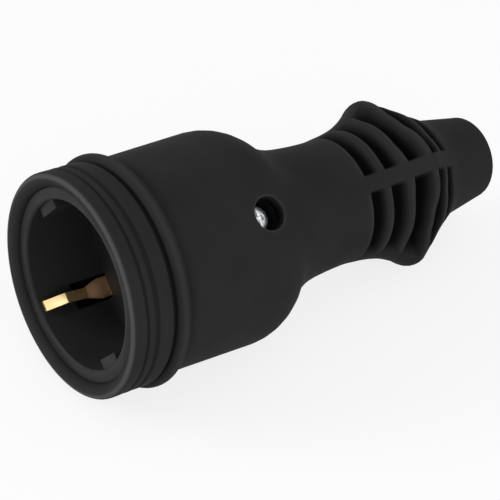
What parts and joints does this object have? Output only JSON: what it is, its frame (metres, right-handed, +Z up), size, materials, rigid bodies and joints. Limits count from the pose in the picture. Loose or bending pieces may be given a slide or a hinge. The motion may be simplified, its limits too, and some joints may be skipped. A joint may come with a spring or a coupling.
{
  "type": "inline socket connector",
  "caption": "Round rubber inline mains socket: recessed well with two pin holes and side earth springs, waisted neck, ribbed strain-relief hood and open cable end.",
  "frame": {"origin": "centre of the rim face, the plane of the housing's front rim", "axes": "+X along the socket's axis from the rim to the cable end, +Z up as it lies on a table on its bead and two hood ribs, the ribs at 45 degrees and the pin holes, keys and earth springs at 48.4 degrees"},
  "size_m": [0.1217, 0.0542, 0.0542],
  "materials": {
    "housing rubber": "moulded, satin",
    "insert plastic": "moulded, slightly glossy",
    "contact brass": "stamped, bright",
    "spring steel": "rolled strip",
    "zinc plated steel": "bright zinc"
  },
  "bodies": {
    "root": {"rubber_housing": "housing rubber", "socket_insert": "insert plastic", "contact_carrier": "insert plastic", "left_contact": "contact brass", "right_contact": "contact brass", "earth_strip": "contact brass", "left_contact_spring": "spring steel", "right_contact_spring": "spring steel", "left_terminal_washer": "zinc plated steel", "left_terminal_screw": "zinc plated steel", "right_terminal_washer": "zinc plated steel", "right_terminal_screw": "zinc plated steel", "earth_terminal_washer": "zinc plated steel", "earth_terminal_screw": "zinc plated steel", "earth_terminal_nut": "zinc plated steel", "upper_carrier_screw": "zinc plated steel", "lower_carrier_screw": "zinc plated steel", "clamp_screw": "zinc plated steel", "clamp_nut": "zinc plated steel", "clamp_plate": "zinc plated steel"}
  },
  "joints": []
}
